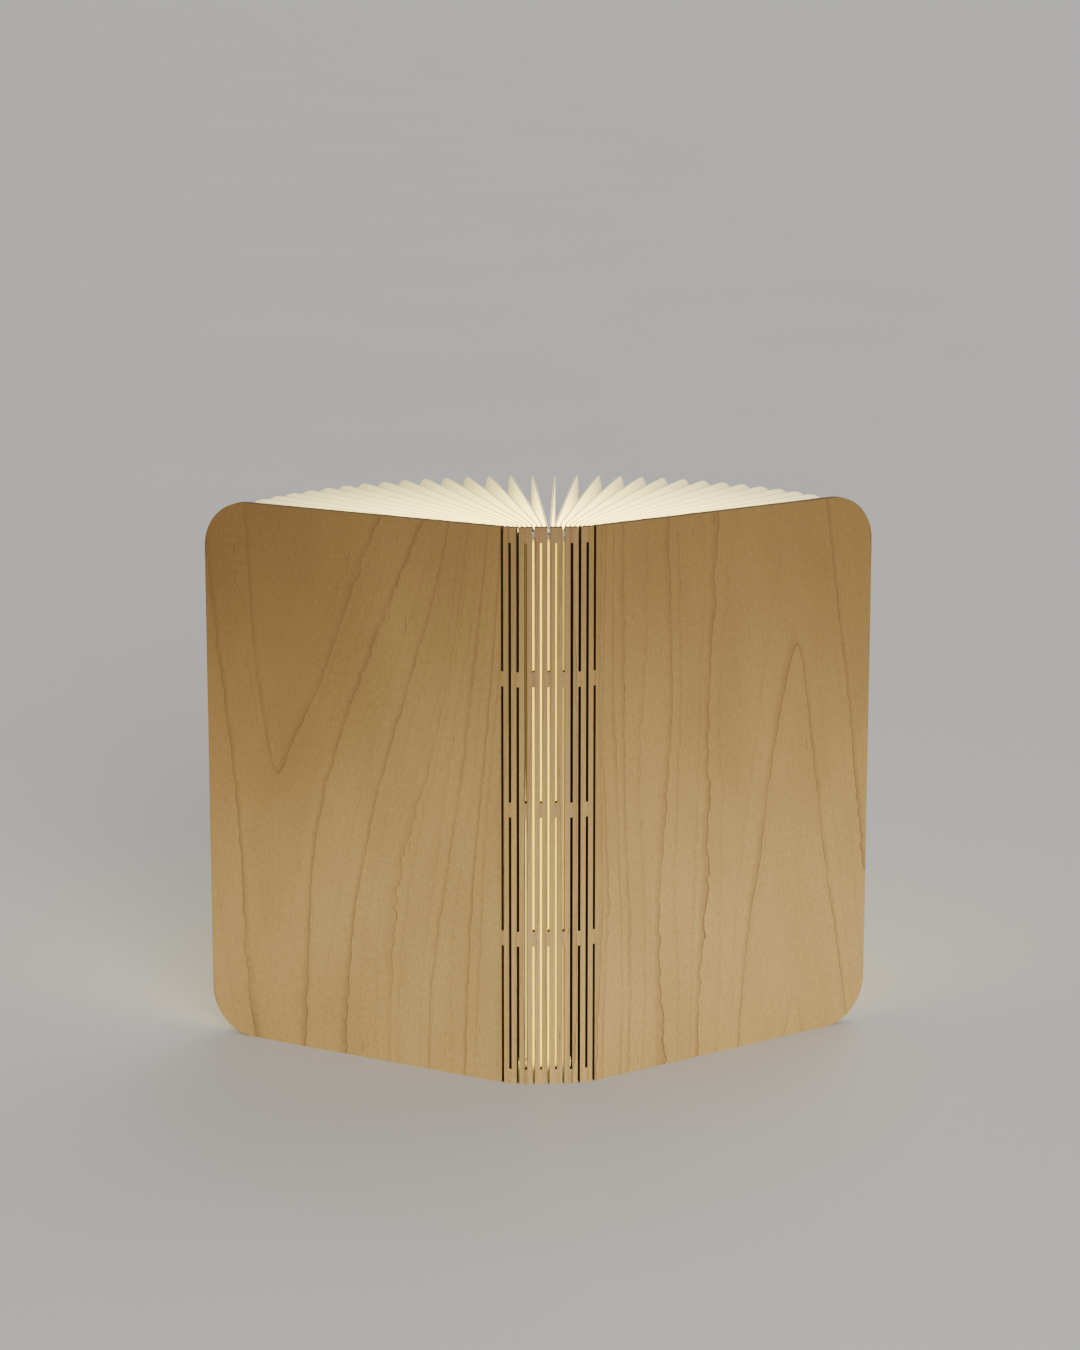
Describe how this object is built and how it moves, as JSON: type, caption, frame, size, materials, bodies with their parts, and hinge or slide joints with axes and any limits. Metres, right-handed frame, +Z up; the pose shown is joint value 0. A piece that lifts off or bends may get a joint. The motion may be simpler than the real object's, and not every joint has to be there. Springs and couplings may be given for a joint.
{
  "type": "folding book lamp",
  "caption": "Book-shaped wooden lamp that stands open; covers swing on a slotted bending spine and a folded paper page block fans out round an inner light.",
  "frame": {"origin": "middle of the spine's bottom edge, halfway through the wood, on the surface it stands on", "axes": "+Z up along the spine, +X to the right along the spine seen from outside the book, +Y from the spine into the book towards the page folds; the outside of the spine faces -Y"},
  "size_m": [0.2542, 0.1308, 0.21],
  "materials": {
    "maple": "satin oiled veneer",
    "page_paper": "smooth matte, lit from inside",
    "end_paper": "matte",
    "magnet": "plated",
    "frosted_plastic": "frosted, glowing warm white",
    "tape": "matte",
    "rail_metal": "anodised",
    "light_board": "white solder mask",
    "light_chip": "phosphor, lit",
    "battery": "foil pouch",
    "lead": "soft",
    "control_board": "green solder mask",
    "socket_metal": "stamped",
    "sensor": "moulded"
  },
  "bodies": {
    "root": {"spine_plate": "maple", "light_housing": "frosted_plastic", "mounting_tape": "tape", "metal_rail": "rail_metal", "light_board": "light_board", "light_chips": "light_chip", "diffuser": "frosted_plastic", "centre_leaf": "page_paper", "top_cap": "frosted_plastic", "bottom_cap": "frosted_plastic", "lower_cell": "battery", "upper_cell": "battery", "battery_leads": "lead", "control_board": "control_board", "charge_socket": "socket_metal", "opening_sensor": "sensor"},
    "left_leaf_1": {"left_leaf_1": "page_paper"},
    "left_leaf_2": {"left_leaf_2": "page_paper"},
    "left_leaf_3": {"left_leaf_3": "page_paper"},
    "left_strip_1": {"left_strip_1": "maple", "left_leaf_4": "page_paper"},
    "left_leaf_5": {"left_leaf_5": "page_paper"},
    "left_leaf_6": {"left_leaf_6": "page_paper"},
    "left_leaf_7": {"left_leaf_7": "page_paper"},
    "left_strip_2": {"left_strip_2": "maple", "left_leaf_8": "page_paper"},
    "left_leaf_9": {"left_leaf_9": "page_paper"},
    "left_leaf_10": {"left_leaf_10": "page_paper"},
    "left_leaf_11": {"left_leaf_11": "page_paper"},
    "left_strip_3": {"left_strip_3": "maple", "left_leaf_12": "page_paper"},
    "left_leaf_13": {"left_leaf_13": "page_paper"},
    "left_leaf_14": {"left_leaf_14": "page_paper"},
    "left_leaf_15": {"left_leaf_15": "page_paper"},
    "left_cover": {"left_cover": "maple", "left_end_paper": "end_paper", "left_magnets": "magnet", "left_leaf_16": "page_paper"},
    "right_leaf_1": {"right_leaf_1": "page_paper"},
    "right_leaf_2": {"right_leaf_2": "page_paper"},
    "right_leaf_3": {"right_leaf_3": "page_paper"},
    "right_strip_1": {"right_strip_1": "maple", "right_leaf_4": "page_paper"},
    "right_leaf_5": {"right_leaf_5": "page_paper"},
    "right_leaf_6": {"right_leaf_6": "page_paper"},
    "right_leaf_7": {"right_leaf_7": "page_paper"},
    "right_strip_2": {"right_strip_2": "maple", "right_leaf_8": "page_paper"},
    "right_leaf_9": {"right_leaf_9": "page_paper"},
    "right_leaf_10": {"right_leaf_10": "page_paper"},
    "right_leaf_11": {"right_leaf_11": "page_paper"},
    "right_strip_3": {"right_strip_3": "maple", "right_leaf_12": "page_paper"},
    "right_leaf_13": {"right_leaf_13": "page_paper"},
    "right_leaf_14": {"right_leaf_14": "page_paper"},
    "right_leaf_15": {"right_leaf_15": "page_paper"},
    "right_cover": {"right_cover": "maple", "right_end_paper": "end_paper", "right_magnets": "magnet"}
  },
  "joints": [
    {"name": "left_fold_1", "type": "hinge", "parent": "root", "child": "left_leaf_1", "pos_m": [-0.00825, 0, 0.105], "axis": [0, 0, 1], "range_deg": [-3.83, 7.79]},
    {"name": "left_fold_2", "type": "hinge", "parent": "left_leaf_1", "child": "left_leaf_2", "pos_m": [-0.00825, 0, 0.105], "axis": [0, 0, 1], "range_deg": [-3.83, 7.79]},
    {"name": "left_fold_3", "type": "hinge", "parent": "left_leaf_2", "child": "left_leaf_3", "pos_m": [-0.00825, 0, 0.105], "axis": [0, 0, 1], "range_deg": [-3.83, 7.79]},
    {"name": "left_fold_4", "type": "hinge", "parent": "left_leaf_3", "child": "left_strip_1", "pos_m": [-0.00825, 0, 0.105], "axis": [0, 0, 1], "range_deg": [-3.83, 7.79]},
    {"name": "left_fold_5", "type": "hinge", "parent": "left_strip_1", "child": "left_leaf_5", "pos_m": [-0.01098, 0.00035, 0.105], "axis": [0, 0, 1], "range_deg": [-3.83, 7.79]},
    {"name": "left_fold_6", "type": "hinge", "parent": "left_leaf_5", "child": "left_leaf_6", "pos_m": [-0.01098, 0.00035, 0.105], "axis": [0, 0, 1], "range_deg": [-3.83, 7.79]},
    {"name": "left_fold_7", "type": "hinge", "parent": "left_leaf_6", "child": "left_leaf_7", "pos_m": [-0.01098, 0.00035, 0.105], "axis": [0, 0, 1], "range_deg": [-3.83, 7.79]},
    {"name": "left_fold_8", "type": "hinge", "parent": "left_leaf_7", "child": "left_strip_2", "pos_m": [-0.01098, 0.00035, 0.105], "axis": [0, 0, 1], "range_deg": [-3.83, 7.79]},
    {"name": "left_fold_9", "type": "hinge", "parent": "left_strip_2", "child": "left_leaf_9", "pos_m": [-0.01364, 0.00104, 0.105], "axis": [0, 0, 1], "range_deg": [-3.83, 7.79]},
    {"name": "left_fold_10", "type": "hinge", "parent": "left_leaf_9", "child": "left_leaf_10", "pos_m": [-0.01364, 0.00104, 0.105], "axis": [0, 0, 1], "range_deg": [-3.83, 7.79]},
    {"name": "left_fold_11", "type": "hinge", "parent": "left_leaf_10", "child": "left_leaf_11", "pos_m": [-0.01364, 0.00104, 0.105], "axis": [0, 0, 1], "range_deg": [-3.83, 7.79]},
    {"name": "left_fold_12", "type": "hinge", "parent": "left_leaf_11", "child": "left_strip_3", "pos_m": [-0.01364, 0.00104, 0.105], "axis": [0, 0, 1], "range_deg": [-3.83, 7.79]},
    {"name": "left_fold_13", "type": "hinge", "parent": "left_strip_3", "child": "left_leaf_13", "pos_m": [-0.01619, 0.00205, 0.105], "axis": [0, 0, 1], "range_deg": [-3.83, 7.79]},
    {"name": "left_fold_14", "type": "hinge", "parent": "left_leaf_13", "child": "left_leaf_14", "pos_m": [-0.01619, 0.00205, 0.105], "axis": [0, 0, 1], "range_deg": [-3.83, 7.79]},
    {"name": "left_fold_15", "type": "hinge", "parent": "left_leaf_14", "child": "left_leaf_15", "pos_m": [-0.01619, 0.00205, 0.105], "axis": [0, 0, 1], "range_deg": [-3.83, 7.79]},
    {"name": "left_cover_fold", "type": "hinge", "parent": "left_leaf_15", "child": "left_cover", "pos_m": [-0.01619, 0.00205, 0.105], "axis": [0, 0, 1], "range_deg": [-3.81, 7.78]},
    {"name": "right_fold_1", "type": "hinge", "parent": "root", "child": "right_leaf_1", "pos_m": [0.00825, 0, 0.105], "axis": [0, 0, -1], "range_deg": [-3.83, 7.79]},
    {"name": "right_fold_2", "type": "hinge", "parent": "right_leaf_1", "child": "right_leaf_2", "pos_m": [0.00825, 0, 0.105], "axis": [0, 0, -1], "range_deg": [-3.83, 7.79]},
    {"name": "right_fold_3", "type": "hinge", "parent": "right_leaf_2", "child": "right_leaf_3", "pos_m": [0.00825, 0, 0.105], "axis": [0, 0, -1], "range_deg": [-3.83, 7.79]},
    {"name": "right_fold_4", "type": "hinge", "parent": "right_leaf_3", "child": "right_strip_1", "pos_m": [0.00825, 0, 0.105], "axis": [0, 0, -1], "range_deg": [-3.83, 7.79]},
    {"name": "right_fold_5", "type": "hinge", "parent": "right_strip_1", "child": "right_leaf_5", "pos_m": [0.01098, 0.00035, 0.105], "axis": [0, 0, -1], "range_deg": [-3.83, 7.79]},
    {"name": "right_fold_6", "type": "hinge", "parent": "right_leaf_5", "child": "right_leaf_6", "pos_m": [0.01098, 0.00035, 0.105], "axis": [0, 0, -1], "range_deg": [-3.83, 7.79]},
    {"name": "right_fold_7", "type": "hinge", "parent": "right_leaf_6", "child": "right_leaf_7", "pos_m": [0.01098, 0.00035, 0.105], "axis": [0, 0, -1], "range_deg": [-3.83, 7.79]},
    {"name": "right_fold_8", "type": "hinge", "parent": "right_leaf_7", "child": "right_strip_2", "pos_m": [0.01098, 0.00035, 0.105], "axis": [0, 0, -1], "range_deg": [-3.83, 7.79]},
    {"name": "right_fold_9", "type": "hinge", "parent": "right_strip_2", "child": "right_leaf_9", "pos_m": [0.01364, 0.00104, 0.105], "axis": [0, 0, -1], "range_deg": [-3.83, 7.79]},
    {"name": "right_fold_10", "type": "hinge", "parent": "right_leaf_9", "child": "right_leaf_10", "pos_m": [0.01364, 0.00104, 0.105], "axis": [0, 0, -1], "range_deg": [-3.83, 7.79]},
    {"name": "right_fold_11", "type": "hinge", "parent": "right_leaf_10", "child": "right_leaf_11", "pos_m": [0.01364, 0.00104, 0.105], "axis": [0, 0, -1], "range_deg": [-3.83, 7.79]},
    {"name": "right_fold_12", "type": "hinge", "parent": "right_leaf_11", "child": "right_strip_3", "pos_m": [0.01364, 0.00104, 0.105], "axis": [0, 0, -1], "range_deg": [-3.83, 7.79]},
    {"name": "right_fold_13", "type": "hinge", "parent": "right_strip_3", "child": "right_leaf_13", "pos_m": [0.01619, 0.00205, 0.105], "axis": [0, 0, -1], "range_deg": [-3.83, 7.79]},
    {"name": "right_fold_14", "type": "hinge", "parent": "right_leaf_13", "child": "right_leaf_14", "pos_m": [0.01619, 0.00205, 0.105], "axis": [0, 0, -1], "range_deg": [-3.83, 7.79]},
    {"name": "right_fold_15", "type": "hinge", "parent": "right_leaf_14", "child": "right_leaf_15", "pos_m": [0.01619, 0.00205, 0.105], "axis": [0, 0, -1], "range_deg": [-3.83, 7.79]},
    {"name": "right_cover_fold", "type": "hinge", "parent": "right_leaf_15", "child": "right_cover", "pos_m": [0.01619, 0.00205, 0.105], "axis": [0, 0, -1], "range_deg": [-3.81, 7.78]}
  ],
  "couplings": [
    {"joint": "left_fold_1", "follows": "left_cover_fold", "ratio": 1},
    {"joint": "left_fold_2", "follows": "left_cover_fold", "ratio": 1},
    {"joint": "left_fold_3", "follows": "left_cover_fold", "ratio": 1},
    {"joint": "left_fold_4", "follows": "left_cover_fold", "ratio": 1},
    {"joint": "left_fold_5", "follows": "left_cover_fold", "ratio": 1},
    {"joint": "left_fold_6", "follows": "left_cover_fold", "ratio": 1},
    {"joint": "left_fold_7", "follows": "left_cover_fold", "ratio": 1},
    {"joint": "left_fold_8", "follows": "left_cover_fold", "ratio": 1},
    {"joint": "left_fold_9", "follows": "left_cover_fold", "ratio": 1},
    {"joint": "left_fold_10", "follows": "left_cover_fold", "ratio": 1},
    {"joint": "left_fold_11", "follows": "left_cover_fold", "ratio": 1},
    {"joint": "left_fold_12", "follows": "left_cover_fold", "ratio": 1},
    {"joint": "left_fold_13", "follows": "left_cover_fold", "ratio": 1},
    {"joint": "left_fold_14", "follows": "left_cover_fold", "ratio": 1},
    {"joint": "left_fold_15", "follows": "left_cover_fold", "ratio": 1},
    {"joint": "right_fold_1", "follows": "right_cover_fold", "ratio": 1},
    {"joint": "right_fold_2", "follows": "right_cover_fold", "ratio": 1},
    {"joint": "right_fold_3", "follows": "right_cover_fold", "ratio": 1},
    {"joint": "right_fold_4", "follows": "right_cover_fold", "ratio": 1},
    {"joint": "right_fold_5", "follows": "right_cover_fold", "ratio": 1},
    {"joint": "right_fold_6", "follows": "right_cover_fold", "ratio": 1},
    {"joint": "right_fold_7", "follows": "right_cover_fold", "ratio": 1},
    {"joint": "right_fold_8", "follows": "right_cover_fold", "ratio": 1},
    {"joint": "right_fold_9", "follows": "right_cover_fold", "ratio": 1},
    {"joint": "right_fold_10", "follows": "right_cover_fold", "ratio": 1},
    {"joint": "right_fold_11", "follows": "right_cover_fold", "ratio": 1},
    {"joint": "right_fold_12", "follows": "right_cover_fold", "ratio": 1},
    {"joint": "right_fold_13", "follows": "right_cover_fold", "ratio": 1},
    {"joint": "right_fold_14", "follows": "right_cover_fold", "ratio": 1},
    {"joint": "right_fold_15", "follows": "right_cover_fold", "ratio": 1}
  ]
}
